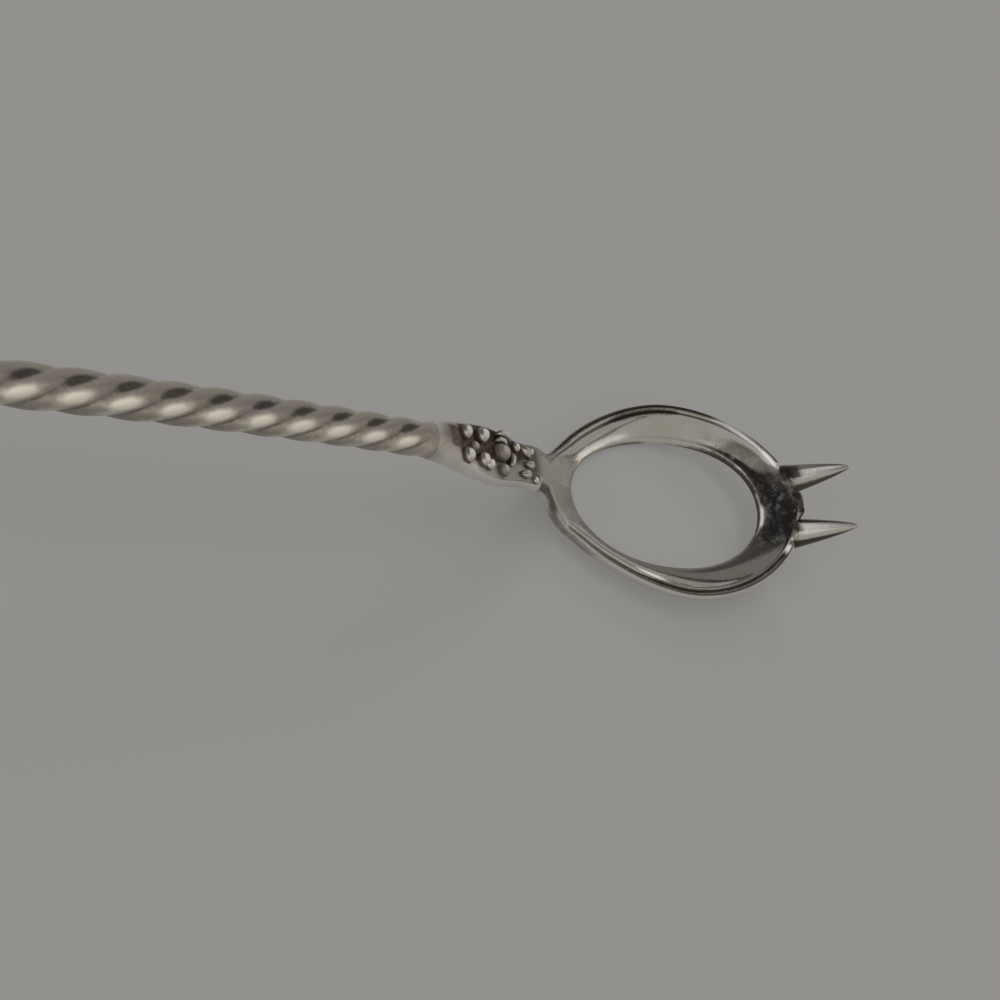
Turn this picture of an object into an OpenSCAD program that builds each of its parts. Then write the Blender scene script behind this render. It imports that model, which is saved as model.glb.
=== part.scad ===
// Olive fork: open oval bowl with two tines, ornamented shoulder, twisted stem and ornamented terminal.
// Millimetres. +X points to the tines, +Z up. The fork lies as on a table, which is z = 0.

/* [Bowl] */
// outside length of the bowl's oval, without neck and tines
bowl_len = 38.6; // [35:0.2:43]
// outside width of the bowl
bowl_w = 24; // [21:0.5:28]
// length of the opening in the bowl
hole_len = 28.9; // [26:0.1:30]
// width of the opening in the bowl
hole_w = 15.5; // [13:0.1:17]
// height of the rim over the opening's upper edge, at the sides
bowl_depth = 1.9; // [1.2:0.1:3]
// height of the plain wall round the opening
hole_wall = 0.95; // [0.6:0.05:1.4]
// width of the flat face along the rim
rim_face = 1.3; // [0.8:0.1:1.8]
// height of the rim face's arch above its edges
rim_crown = 0.3; // [0.05:0.05:0.4]
// how much higher the rim is at its ends than at its sides
rim_rise = 1.35; // [0.6:0.05:2]
// how much higher the opening's edge is at its ends than at its sides
hole_rise = 1.5; // [0.8:0.1:2.2]

/* [Neck] */
// width of the neck where it meets the shoulder
neck_w = 4.6; // [4:0.1:5.4]
// thickness of the neck where it meets the shoulder
neck_t = 1.8; // [1.6:0.1:2.2]
// height that the neck climbs from the rim to the shoulder
neck_climb = 4.85; // [3:0.05:6]
// length of the climb
neck_len = 7.1; // [6:0.1:9]

/* [Tines] */
// length of the near tine from rim to tip
tine_len = 9.1; // [7:0.1:11]
// how much longer the far tine is
far_more = 0.65; // [0:0.05:1]
// width of the far tine at its root
tine_w = 4.1; // [3.4:0.1:4.5]
// share of that width that the near tine has
near_share = 0.93; // [0.85:0.01:1]
// distance between the tines' middles at their roots
tine_gap = 6.9; // [6.4:0.1:8.4]
// distance between the tines' tips
tip_gap = 7.9; // [7:0.1:9]
// how far the pair of roots stands off the fork's middle line, to the near side
tine_skew = 0.45; // [0:0.05:0.8]
// upward slope of the tines against the rim plane
tine_slope = 24; // [10:1:40]

/* [Shoulder] */
// length of the shoulder between stem and neck
shoulder_len = 14.3; // [13.5:0.1:16]
// greatest width of the shoulder
shoulder_w = 5.5; // [5:0.1:7]
// thickness of the shoulder at its border
shoulder_t = 2; // [1.9:0.1:2.4]
// depth of the sunk field that carries the ornament
field_depth = 0.4; // [0.2:0.05:0.6]

/* [Stem] */
// length of the twisted stem
stem_len = 71.5; // [50:0.5:100]
// diameter of the stem over its ridges
stem_d = 3.15; // [2.8:0.05:3.6]
// diameter of the round back of each ridge
strand_d = 1.9; // [1.7:0.05:2.4]
// number of ridges round the stem
ridges = 4; // [3:1:5]
// distance from one ridge to the next along the stem
ridge_pitch = 3.16; // [2.5:0.01:5]
// angle of the first ridge round the stem where it leaves the shoulder
first_ridge = 46; // [0:1:90]
// slope of the stem where it leaves the shoulder, against the rim plane
stem_slope = 10.3; // [8:0.1:12]
// radius of the stem's long arch
stem_arch = 290; // [260:5:340]

/* [Terminal] */
// length of the terminal
terminal_len = 30; // [26:0.5:36]
// greatest width of the terminal
terminal_w = 8; // [7:0.1:9]
// thickness of the terminal at its border
terminal_t = 2.3; // [2:0.1:2.8]

/* [Joints] */
// diameter of the pegs that hold stem, shoulder and terminal together
peg_d = 1.4; // [1:0.1:1.6]
// length of those pegs
peg_len = 3; // [2:0.1:3]
// play all round a peg in its socket
peg_play = 0.03; // [0.01:0.01:0.06]
// depth of the worn flats on which the fork rests
rest_flat = 0.12; // [0.06:0.02:0.2]

/* [Hidden] */
silver = [0.80, 0.79, 0.76];
oxide = [0.62, 0.61, 0.59];
fine = 40;
hair = 0.01;

// Shared curves

function lerp(a, b, t) = a + (b - a) * t;
function clamp01(t) = max(0, min(1, t));
function smooth(t) = let (c = clamp01(t)) c * c * (3 - 2 * c);
function power(v, e) = sign(v) * pow(abs(v), e);
function bezier(a, b, c, d, t) =
    let (s = 1 - t) s * s * s * a + 3 * s * s * t * b + 3 * s * t * t * c + t * t * t * d;

// Side wall, ends and faces of a solid whose rings of points follow one another.
function ring_faces(rings, m, closed) = [
    for (i = [0 : rings - (closed ? 1 : 2)])
        for (j = [0 : m - 1])
            let (a = i * m + j, b = i * m + (j + 1) % m,
                 c = ((i + 1) % rings) * m + (j + 1) % m, d = ((i + 1) % rings) * m + j)
                each [[a, b, c], [a, c, d]]];
function loft_faces(rings, m) = concat(
    ring_faces(rings, m, false),
    [[for (j = [m - 1 : -1 : 0]) j], [for (j = [0 : m - 1]) (rings - 1) * m + j]]);

// Bowl frame: x to the tines, z out of the rim plane, origin at the middle of the rim's oval

rim_a = bowl_len / 2;
rim_b = bowl_w / 2;
hole_a = hole_len / 2;
hole_b = hole_w / 2;
hole_x = -0.25;
rim_power = 1.81;
rim_pear = 0.14;
hole_power = 2.09;
hole_pear = 0.11;

// Oval with half-axes a and b, fuller to the front by the share k.
function oval(a, b, k, q, x0, t) =
    let (c = power(cos(t), 2 / q), s = power(sin(t), 2 / q))
        [x0 + a * c, b * s * (1 + k * c)];
function rim_point(t) = oval(rim_a, rim_b, rim_pear, rim_power, 0, t);
function hole_point(t) = oval(hole_a, hole_b, hole_pear, hole_power, hole_x, t);

neck_x0 = -rim_a + 2.8;
neck_x1 = neck_x0 - neck_len;
neck_half = 36;
cap_half = 12;
function rim_z(x) = rim_rise * pow(x / rim_a, 2);
function top_z(x) = rim_z(x) + neck_climb * smooth((neck_x0 - x) / neck_len);
function hole_z(x) = hole_rise * pow((x - hole_x) / hole_a, 2) - bowl_depth;
function hole_low(x) = hole_z(x) - hole_wall;

// Slope of the neck's end, which is the shoulder's slope there.
neck_slope = 18;

// Outer edge in plan: the oval, and behind it the neck's two flanks and its straight end.
neck_side_t = 180 - neck_half;
neck_side = rim_point(neck_side_t);
neck_ahead = rim_point(neck_side_t - 4) - neck_side;
neck_way = neck_ahead / norm(neck_ahead);
neck_corner = [neck_x1, neck_w / 2];
function flank(t) = bezier(neck_corner, neck_corner + [4, 0.1], neck_side - 3 * neck_way, neck_side, t);
function edge_point(t) =
    let (off = abs(t - 180), side = t < 180 ? 1 : -1)
        off >= neck_half ? rim_point(t)
        : off >= cap_half ? let (p = flank((off - cap_half) / (neck_half - cap_half))) [p[0], side * p[1]]
        : [neck_x1, side * off / cap_half * neck_w / 2];

// One radial section of the bowl, from the opening's lower edge over the top to the underside.
function at(h, e, t, z) = let (p = lerp(h, e, t)) [p[0], p[1], z];
function bowl_section(t) =
    let (off = abs(t - 180),
         neck = smooth((neck_half - off) / (neck_half - cap_half)),
         h = hole_point(t), e = edge_point(t), span = norm(e - h),
         lip = 0.4 / span, face = 1 - rim_face / span,
         inner = lerp(face, min(0.42, face), neck),
         crest = lerp(h, e, inner),
         bevel = off < cap_half ? lerp(0.03, 0.45, smooth(4 * off / cap_half - 3)) : lerp(0.15, 0.45, neck),
         crown = rim_crown * (1 - neck),
         zh = hole_z(h[0]), zl = hole_low(h[0]),
         zc = top_z(crest[0]) - crown - 0.05 * (1 - neck), ze = top_z(e[0]) - crown,
         foot = at(h, e, 0.5 / span, zl),
         drop = ze - zl, reach = 1 - 0.5 / span,
         tuck = -0.5 * e[1] / max(abs(e[1]), neck_w / 2),
         down = [sin(neck_slope) * -neck_t, tuck, cos(neck_slope) * -neck_t],
         under = lerp(h, e, 0.45))
    concat(
        [[h[0], h[1], zl], [h[0], h[1], zh - 0.3], at(h, e, lip * 0.25, zh - 0.08), at(h, e, lip, zh)],
        [for (k = [0.3, 0.55, 0.8]) at(h, e, lerp(lip, inner, k), lerp(zh, zc, pow(k, 1.5)))],
        [at(h, e, inner, zc)],
        [for (k = [0.12, 0.4, 0.7, 1 - bevel / norm(e - crest)])
            let (p = lerp(crest, e, k)) [p[0], p[1], top_z(p[0]) - crown * pow(abs(2 * k - 1), 2.2)]],
        [[e[0], e[1], ze - 1.1 * bevel]],
        [for (k = [0 : 3])
            let (a = [28, 54, 74, 90][k],
                 out = at(h, e, 1 - reach * (1 - pow(cos(a), 0.8)), ze - drop * pow(sin(a), 0.8)),
                 neck_wall = [[e[0] + down[0] / 2, e[1], ze + down[2] / 2], [e[0], e[1], ze] + down,
                              [under[0], under[1], top_z(under[0]) - 1.15 * neck_t], foot][k])
                lerp(out, neck_wall, neck)]);

// Sections lie closer together round the neck than round the rest of the oval.
bowl_angles = concat([for (a = [218 : -2 : 142]) a], [for (a = [140 : -3.5 : -140]) (a + 360) % 360]);
bowl_steps = len(bowl_angles);
bowl_points = [for (a = bowl_angles) bowl_section(a)];
section_points = len(bowl_points[0]);

// Stem path in the bowl frame: a long arch that leaves the shoulder's rear end

stem_start = [-37.3, 10.8];
function stem_angle(s) = stem_slope - s / stem_arch * 180 / PI;
function arch_point(a) = stem_arch * [sin(a), cos(a)];
function stem_at(s) = stem_start + arch_point(stem_angle(s)) - arch_point(stem_slope);
stem_end = stem_at(stem_len);
end_angle = stem_angle(stem_len);

// Rest pose: the tilt at which bowl and terminal touch one plane together

tail_reach = terminal_len - 4;
end_way = [-cos(end_angle), sin(end_angle)];
tail_point = stem_end + tail_reach * end_way - terminal_t / 2 * [sin(end_angle), cos(end_angle)];
function bowl_low(a) = min([for (x = [-hole_a : 0.2 : hole_a]) x * sin(a) + hole_low(x) * cos(a)]);
function tail_low(a) = tail_point[0] * sin(a) + tail_point[1] * cos(a);
function rest_tilt(lo, hi, n) =
    let (mid = (lo + hi) / 2)
        n == 0 ? mid : tail_low(mid) > bowl_low(mid) ? rest_tilt(mid, hi, n - 1) : rest_tilt(lo, mid, n - 1);
tilt = rest_tilt(1, 14, 24);
table = bowl_low(tilt) + rest_flat;

// Roots of the tines in the bowl frame, on the rim's front edge; side is 1 for the far tine, else -1.
function root_y(side) = side * tine_gap / 2 - tine_skew;
function root_edge(side) =
    rim_point(asin(pow(abs(root_y(side)) / rim_b / (1 + rim_pear), rim_power / 2)));
function root_z(side) = rim_z(root_edge(side)[0]) - 0.456 * tine_w;

tip_x = root_edge(1)[0] + tine_len * cos(tine_slope);
tip_z = root_z(1) + tine_len * sin(tine_slope);
front_x = tip_x * cos(tilt) - tip_z * sin(tilt);
back = stem_end + terminal_len * end_way;
back_x = back[0] * cos(tilt) - back[1] * sin(tilt);

module lay_down() {
    translate([-(front_x + back_x) / 2, 0, -table])
        rotate([0, -tilt, 0])
            children();
}

module table_block() {
    translate([-150, -30, -20])
        cube([300, 60, 20]);
}

// Bowl

module bowl_blank() {
    polyhedron([for (s = bowl_points) each s], ring_faces(bowl_steps, section_points, true), convexity = 8);
}

module bowl() {
    color(silver)
        difference() {
            lay_down()
                difference() {
                    bowl_blank();
                    neck_frame()
                        neck_tongue(hair, peg_play, 0.1);
                }
            table_block();
        }
}

// Tines

// Ring of a tine at the share k of its length: a blunt cone that starts inside the rim with a rounded root
// and stands higher above its axis than below it.
root_inside = 1.7;
root_round = 1.3;
tine_rings = 18;
tine_points = 20;
function tine_reach(side) = tine_len + (side > 0 ? far_more : 0);
function tine_along(k, side) = lerp(-root_inside, tine_reach(side), 1 - pow(1 - k, 1.4));
function tine_taper(along, side) =
    let (u = clamp01(along / tine_reach(side)), v = 1 - clamp01((along + root_inside) / root_round))
        (0.86 * pow(1 - u, 0.8) + 0.14 * sqrt(1 - pow(u, 4)) + 0.03 * u) * sqrt(max(0.05, 1 - v * v));
function tine_ring(k, side, lean) =
    let (along = tine_along(k, side), w = tine_w / 2 * (side > 0 ? 1 : near_share) * tine_taper(along, side))
        [for (p = round_section(w, w, 2.1, tine_points))
            let (z = p[1] * (p[1] > 0 ? 1.08 : 0.72))
                [along * cos(tine_slope) - z * sin(tine_slope), p[0] + along * lean,
                 along * sin(tine_slope) + z * cos(tine_slope)]];

module tine(side) {
    lean = (side * tip_gap / 2 + 0.1 - root_y(side)) / tine_reach(side);
    color(silver)
        lay_down()
            difference() {
                translate([root_edge(side)[0], root_y(side), root_z(side)])
                    polyhedron([for (i = [tine_rings : -1 : 0]) each tine_ring(i / tine_rings, side, lean)],
                               loft_faces(tine_rings + 1, tine_points), convexity = 3);
                bowl_blank();
            }
}

// Shoulder

shoulder_end = [neck_x1, top_z(neck_x1)] + neck_t / 2 * [-sin(neck_slope), -cos(neck_slope)];
shoulder_reach = shoulder_len * 0.32;
function spine(t) = bezier(
    stem_start, stem_start + shoulder_reach * [cos(stem_slope), -sin(stem_slope)],
    shoulder_end - shoulder_reach * [cos(neck_slope), -sin(neck_slope)], shoulder_end, t);
function spine_slope(t) =
    t <= 0 ? stem_slope : t >= 1 ? neck_slope
    : let (d = spine(t + 0.01) - spine(t - 0.01)) -atan2(d[1], d[0]);
function shoulder_half(t) =
    lerp(stem_d / 2, shoulder_w / 2, smooth((t + 0.08) / 0.6))
    - (shoulder_w - neck_w) / 2 * smooth((t - 0.55) / 0.3);

// Rounded section with half-width w and half-height h, from round (q = 2) to nearly square.
function round_section(w, h, q, m) = [for (j = [0 : m - 1])
    let (a = 360 * j / m) [w * power(cos(a), 2 / q), h * power(sin(a), 2 / q)]];
function in_plane(c, slope, yz) = [c[0] + yz[1] * sin(slope), yz[0], c[1] + yz[1] * cos(slope)];

loft_steps = 18;
loft_points = 28;
function shoulder_ring(t) =
    let (grow = smooth(t / 0.45))
        [for (p = round_section(shoulder_half(t), lerp(stem_d / 2, lerp(shoulder_t, neck_t, t) / 2, grow),
                                lerp(2, 4, grow), loft_points))
            in_plane(spine(t), spine_slope(t), p)];

// Frame of the sunk field: its floor is z = 0, x runs to the bowl.
field_t = 0.56;
field_slope = spine_slope(field_t);
module field_frame() {
    floor_h = shoulder_t / 2 - field_depth;
    c = spine(field_t) + floor_h * [sin(field_slope), cos(field_slope)];
    translate([c[0], 0, c[1]])
        rotate([0, field_slope, 0])
            children();
}
module neck_frame() {
    translate([shoulder_end[0], 0, shoulder_end[1]])
        rotate([0, neck_slope, 0])
            children();
}
module stem_frame() {
    translate([stem_start[0], 0, stem_start[1]])
        rotate([0, stem_slope, 0])
            children();
}
tongue_d = 0.9;
tongue_len = 1.2;
tongue_drop = -0.05;
peg_drop = -0.3;
peg_dip = 4.5;

// Outline of the field, a little inside the shoulder's own outline.
field_back = -6.2;
field_front = 6.05;
function field_half(k) =
    (shoulder_half(field_t + lerp(field_back, field_front, k) / shoulder_len) - 0.32) * min(1, sqrt(14 * k));
module field_outline() {
    n = 16;
    polygon(concat(
        [for (i = [0 : n]) [lerp(field_back, field_front, i / n), -field_half(i / n)]],
        [for (i = [n : -1 : 1]) [lerp(field_back, field_front, i / n), field_half(i / n)]]));
}

module shoulder() {
    color(oxide)
        lay_down() {
            difference() {
                polyhedron([for (i = [loft_steps : -1 : 0]) each shoulder_ring(i / loft_steps)],
                           loft_faces(loft_steps + 1, loft_points), convexity = 6);
                field_frame()
                    linear_extrude(height = 3)
                        field_outline();
                stem_frame()
                    stem_peg(peg_play, peg_len + 0.2);
            }
            neck_frame()
                neck_tongue(0.1, 0, 0);
        }
}

// Tongue of the shoulder's front end, which sits in the neck.
module neck_tongue(before, play, beyond) {
    translate([-before, 0, tongue_drop])
        rotate([0, 90, 0])
            cylinder(d = tongue_d + 2 * play, h = before + tongue_len + beyond, $fn = fine);
}

// Peg of the stem's front end; it dips into the shoulder's body.
module stem_peg(play, reach) {
    translate([-hair, 0, peg_drop])
        rotate([0, 90 + peg_dip, 0])
            cylinder(d = peg_d + 2 * play, h = reach, $fn = fine);
}

// Ornament pieces, which stand on the floor of a field

// Domed boss of diameter d and height h.
module dome(p, d, h) {
    r = (d * d / 4 + h * h) / (2 * h);
    translate([p[0], p[1], 0])
        intersection() {
            translate([0, 0, h - r])
                sphere(r = r, $fn = 48);
            cylinder(d = d + 1, h = h + 1, $fn = fine);
        }
}

// Round-backed band bent to an arc about p, on a wall of height lift.
module scroll(p, r, tube, lift, from, to) {
    translate([p[0], p[1], 0])
        rotate([0, 0, from])
            rotate_extrude(angle = to - from, $fn = 64)
                translate([r, 0]) {
                    translate([-tube, 0])
                        square([2 * tube, lift]);
                    intersection() {
                        translate([0, lift])
                            circle(r = tube, $fn = 24);
                        translate([-tube, 0])
                            square([2 * tube, lift + tube]);
                    }
                }
}

// Pointed leaf from p to q, w wide and h high, with a round back.
module leaf(p, q, w, h) {
    l = norm(q - p);
    r = (l * l / 4 + w * w / 4) / w;
    back = (l * l / 4 + h * h) / (2 * h);
    c = (p + q) / 2;
    translate([c[0], c[1], 0])
        rotate([0, 0, atan2(q[1] - p[1], q[0] - p[0])])
            intersection() {
                linear_extrude(height = h + 1)
                    intersection() {
                        translate([0, r - w / 2])
                            circle(r = r, $fn = 96);
                        translate([0, w / 2 - r])
                            circle(r = r, $fn = 96);
                    }
                translate([0, 0, h - back])
                    rotate([90, 0, 0])
                        cylinder(r = back, h = w + 1, center = true, $fn = 96);
            }
}

big_boss = [0.65, 0.2];
module shoulder_beads() {
    color(silver)
        lay_down()
            field_frame() {
                dome([-4.5, 1.1], 1.3, 0.9);
                dome([-2.2, 1.25], 1.4, 1);
                dome([-4.65, -1.15], 1.35, 0.95);
                dome([-2.45, -1.1], 1.2, 0.9);
                dome([-1.65, -1.4], 1.1, 0.8);
                dome([3.05, 1.25], 0.9, 0.65);
                dome([5.6, -1.55], 0.75, 0.5);
                dome([5.55, 1.35], 0.7, 0.5);
            }
}

module shoulder_bosses() {
    color(oxide)
        lay_down()
            field_frame() {
                dome([-3.35, 0], 1, 0.6);
                dome(big_boss, 1.8, 1);
                dome([0.55, -1.5], 1.3, 0.75);
            }
}

module shoulder_scrolls() {
    color(silver)
        lay_down()
            field_frame() {
                scroll(big_boss, 1.25, 0.24, 0.4, 42, 128);
                scroll(big_boss, 1.8, 0.26, 0.7, 42, 116);
                scroll(big_boss, 1.5, 0.3, 0.35, -50, 12);
            }
}

module shoulder_leaves() {
    color(silver)
        lay_down()
            field_frame() {
                leaf([3.6, 1.75], [5.35, 0.45], 0.95, 0.8);
                leaf([3.1, -1.3], [5.3, -1.1], 0.85, 0.65);
                leaf([4.1, -0.15], [6, -0.05], 0.8, 0.65);
            }
}

// Twisted stem

stem_rings = 150;
stem_points = 24;
lead = ridges * ridge_pitch;
function stem_radius(a) =
    let (part = 360 / ridges, off = a - part * round(a / part), out = (stem_d - strand_d) / 2)
        out * cos(off) + sqrt(pow(strand_d / 2, 2) - pow(out * sin(off), 2));
function stem_ring(s) =
    [for (j = [0 : stem_points - 1])
        let (a = 360 * j / stem_points, turn = first_ridge + a + 360 * s / lead,
             r = stem_radius(a), p = stem_at(s))
            in_plane(p, stem_angle(s), [r * cos(turn), r * sin(turn)])];

module end_frame() {
    translate([stem_end[0], 0, stem_end[1]])
        rotate([0, end_angle, 0])
            children();
}
module end_peg(play, reach) {
    translate([hair, 0, 0])
        rotate([0, -90, 0])
            cylinder(d = peg_d + 2 * play, h = reach, $fn = fine);
}

module twisted_stem() {
    color(silver)
        lay_down() {
            polyhedron([for (i = [0 : stem_rings]) each stem_ring(stem_len * i / stem_rings)],
                       loft_faces(stem_rings + 1, stem_points), convexity = 10);
            stem_frame()
                stem_peg(0, peg_len);
            end_frame()
                end_peg(0, peg_len);
        }
}

// Terminal

terminal_steps = 24;
tip_round = 3.2;
function tip_share(s) = max(0, (s - terminal_len + tip_round) / tip_round);
function terminal_half(s) =
    lerp(stem_d / 2, terminal_w / 2, smooth((s - 0.5) / (terminal_len - 8)))
    * sqrt(max(0.02, 1 - pow(tip_share(s), 2)));
function terminal_ring(s) =
    let (grow = smooth(s / 8), end = sqrt(max(0.12, 1 - 0.75 * pow(tip_share(s), 2))),
         high = end * lerp(stem_d, terminal_t, grow) / 2)
        [for (p = round_section(terminal_half(s), high, lerp(2, 3.4, grow), loft_points))
            in_plane(stem_end + s * end_way, end_angle, p)];
function terminal_stop(i) = terminal_len * (1 - pow(1 - i / terminal_steps, 1.5));

// Frame of the terminal's field: floor z = 0, x runs to the fork's end.
terminal_mid = 18;
module terminal_frame() {
    floor_h = terminal_t / 2 - field_depth;
    end_frame()
        translate([-terminal_mid, 0, floor_h])
            rotate([0, 0, 180])
                children();
}
terminal_back = -9;
terminal_front = 9.2;
function terminal_x(k) = lerp(terminal_back, terminal_front, k);
function terminal_field(k) =
    (terminal_half(terminal_mid + terminal_x(k)) - 0.55) * min(1, sqrt(8 * k)) * min(1, sqrt(6 * (1 - k)));
module terminal_outline() {
    n = 18;
    polygon(concat(
        [for (i = [0 : n]) [terminal_x(i / n), -terminal_field(i / n)]],
        [for (i = [n - 1 : -1 : 1]) [terminal_x(i / n), terminal_field(i / n)]]));
}

module terminal() {
    color(oxide)
        difference() {
            lay_down()
                difference() {
                    polyhedron([for (i = [0 : terminal_steps]) each terminal_ring(terminal_stop(i))],
                               loft_faces(terminal_steps + 1, loft_points), convexity = 6);
                    terminal_frame()
                        linear_extrude(height = 3)
                            terminal_outline();
                    end_frame()
                        end_peg(peg_play, peg_len + 0.2);
                }
            table_block();
        }
}

module terminal_beads() {
    color(silver)
        lay_down()
            terminal_frame()
                for (side = [-1, 1]) {
                    dome([-3.6, side * 1.35], 1.2, 0.7);
                    dome([-0.6, side * 2.1], 1.3, 0.75);
                    dome([3.2, side * 2.5], 1.3, 0.75);
                }
}

module terminal_bosses() {
    color(oxide)
        lay_down()
            terminal_frame() {
                dome([-4.9, 0], 0.9, 0.5);
                dome([1.6, 0], 2.2, 1.0);
                dome([-1.9, 0], 1.1, 0.6);
            }
}

module terminal_leaves() {
    color(silver)
        lay_down()
            terminal_frame() {
                for (side = [-1, 1])
                    leaf([3.6, side * 0.75], [7.2, side * 2.2], 1.2, 0.7);
                leaf([3.4, 0], [8.4, 0], 1.1, 0.8);
                leaf([-8.4, 0], [-5.8, 0], 0.8, 0.5);
            }
}

bowl();
tine(1);  // far_tine
tine(-1);  // near_tine
shoulder();
shoulder_beads();
shoulder_bosses();
shoulder_scrolls();
shoulder_leaves();
twisted_stem();
terminal();
terminal_beads();
terminal_bosses();
terminal_leaves();
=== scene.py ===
import bpy
import numpy as np
from mathutils import Matrix, Vector


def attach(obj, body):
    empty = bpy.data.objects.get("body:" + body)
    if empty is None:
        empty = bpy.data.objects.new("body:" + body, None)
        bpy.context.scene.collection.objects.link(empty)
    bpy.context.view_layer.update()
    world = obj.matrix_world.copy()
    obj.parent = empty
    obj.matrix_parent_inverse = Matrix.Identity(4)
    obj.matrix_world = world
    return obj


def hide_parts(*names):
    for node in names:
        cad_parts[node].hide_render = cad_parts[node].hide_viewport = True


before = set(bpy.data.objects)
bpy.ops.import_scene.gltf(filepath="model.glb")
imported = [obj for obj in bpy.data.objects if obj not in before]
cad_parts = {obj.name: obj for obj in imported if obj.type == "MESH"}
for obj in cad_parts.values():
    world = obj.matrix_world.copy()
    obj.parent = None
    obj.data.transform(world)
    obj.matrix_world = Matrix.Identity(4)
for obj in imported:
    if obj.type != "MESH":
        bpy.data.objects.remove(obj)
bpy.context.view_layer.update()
print("frame loaded:", len(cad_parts), "solids")

deg = np.pi / 180
lying = {"tilt": 6.4843, "table": -3.18663, "shift": 56.3014}  # how the solids lie, degrees and mm


def smooth(t):  # 0 to 1 with level ends
    c = np.clip(t, 0, 1)
    return c * c * (3 - 2 * c)


def mix(a, b, t):
    return a + (b - a) * t


def signedPower(v, e):
    return np.sign(v) * np.abs(v) ** e


def layDown(p):  # bowl's frame in mm to the part's frame in metres: turn about Y, then shift
    c, s = np.cos(lying["tilt"] * deg), np.sin(lying["tilt"] * deg)
    x, y, z = p[..., 0], p[..., 1], p[..., 2]
    return np.stack([x * c - z * s + lying["shift"], y, x * s + z * c - lying["table"]], -1) / 1000


def layWay(v):  # the same turn for a direction
    c, s = np.cos(lying["tilt"] * deg), np.sin(lying["tilt"] * deg)
    return np.array([v[0] * c - v[2] * s, v[1], v[0] * s + v[2] * c])


def wornFlat(p):  # what would reach below the table is moved up to it
    c, s = np.cos(lying["tilt"] * deg), np.sin(lying["tilt"] * deg)
    below = np.minimum(0, p[..., 0] * s + p[..., 2] * c - lying["table"])
    return p - below[..., None] * np.array([s, 0, c])


def inPlane(centre, slope, across, up):
    # section point: across goes to Y, up stands square on a path that falls by slope
    s, c = np.sin(slope * deg), np.cos(slope * deg)
    return np.stack(np.broadcast_arrays(centre[..., 0] + up * s, across, centre[..., 1] + up * c), -1)


def roundSection(w, h, q, a):  # superellipse, from round (q = 2) to nearly square
    return w * signedPower(np.cos(a), 2 / q), h * signedPower(np.sin(a), 2 / q)


def fullTurn(count):  # angles round a section, as one row
    return np.linspace(0, 2 * np.pi, count, endpoint=False)[None, :]


def buildPiece(name, node, material, sheets):
    # each sheet is a grid of points that closes on itself along v, with its two ends fanned shut
    # unless it also closes along u; marks are per-point numbers that the finish reads
    verts, quads, tris, marks, base = [], [], [], {}, 0
    for sheet in sheets:
        p = sheet["points"]
        nu, nv = p.shape[:2]
        ring = sheet.get("ringU", False)
        i = np.arange(nu if ring else nu - 1)[:, None]
        j = np.arange(nv)[None, :]
        nextI, nextJ = (i + 1) % nu, (j + 1) % nv
        q = np.stack(np.broadcast_arrays(i * nv + j, nextI * nv + j, nextI * nv + nextJ, i * nv + nextJ), -1)
        flat = p.reshape(-1, 3)
        t = np.zeros((0, 3), int)
        if not ring:
            j, nextJ = np.arange(nv), (np.arange(nv) + 1) % nv
            last = (nu - 1) * nv
            t = np.concatenate([np.stack([j, nextJ, np.full(nv, nu * nv)], -1),
                                np.stack([last + nextJ, last + j, np.full(nv, nu * nv + 1)], -1)])
            flat = np.concatenate([flat, p[0].mean(0)[None], p[-1].mean(0)[None]])
        q = q.reshape(-1, 4)
        a, b, c, d = (flat[q[:, k]] for k in range(4))
        volume = np.einsum("ij,ij->i", a, np.cross(b, c) + np.cross(c, d)).sum()
        if len(t):
            volume += np.einsum("ij,ij->i", flat[t[:, 0]], np.cross(flat[t[:, 1]], flat[t[:, 2]])).sum()
        if volume < 0:  # faces look outwards
            q, t = q[:, ::-1], t[:, ::-1]
        for key, value in sheet["marks"].items():
            value = np.broadcast_to(value, (nu, nv))
            ends = [] if ring else [value[0].mean(), value[-1].mean()]
            marks.setdefault(key, []).append(np.concatenate([value.ravel(), ends]))
        verts.append(flat)
        quads.append(q + base)
        tris.append(t + base)
        base += len(flat)
    mesh = bpy.data.meshes.new(name)
    verts = layDown(np.concatenate(verts))
    mesh.from_pydata(verts.tolist(), [], np.concatenate(quads).tolist() + np.concatenate(tris).tolist())
    for key, values in marks.items():
        mark = mesh.attributes.new(key, "FLOAT", "POINT")
        mark.data.foreach_set("value", np.concatenate(values).astype(np.float32))
    mesh.shade_smooth()
    mesh.update()
    mesh.materials.append(material)
    piece = bpy.data.objects.new(name, mesh)
    bpy.context.scene.collection.objects.link(piece)
    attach(piece, "root")
    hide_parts(node)
    print("piece", name, len(verts), "points")


# finishes

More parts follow.
